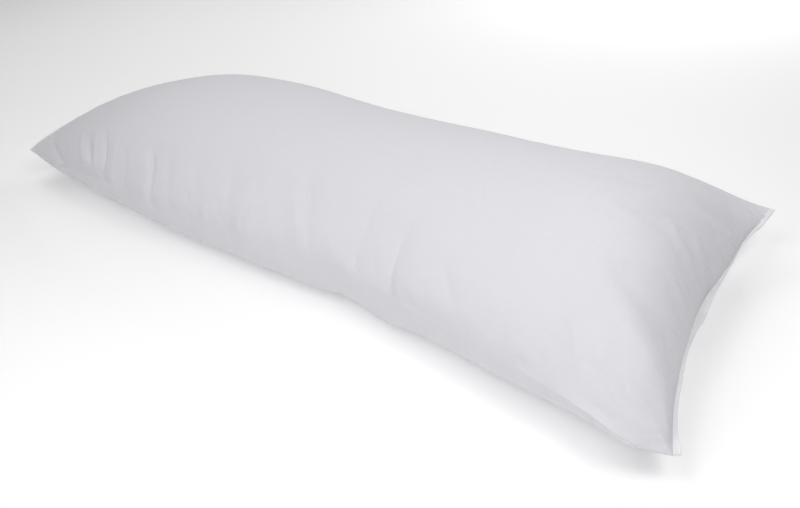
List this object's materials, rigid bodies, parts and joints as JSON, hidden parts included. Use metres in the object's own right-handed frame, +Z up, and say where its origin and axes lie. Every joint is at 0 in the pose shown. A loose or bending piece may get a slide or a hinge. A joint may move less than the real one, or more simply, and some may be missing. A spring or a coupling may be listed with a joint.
{
  "type": "body pillow",
  "caption": "Long rectangular bed pillow: one folded white cotton cover with soft crown, pulled corners and a flat sewn lip at each end, lying on its face.",
  "frame": {"origin": "middle of the pillow's box, on the surface that it lies on", "axes": "+X along the pillow towards the end with the bright topstitched closing, +Y across it to the back long side, +Z up out of the upper face"},
  "size_m": [1.326, 0.5122, 0.1771],
  "materials": {
    "cover_cotton": "matt bleached plain-weave cotton"
  },
  "bodies": {
    "root": {"filled_cover": "cover_cotton"}
  },
  "joints": []
}
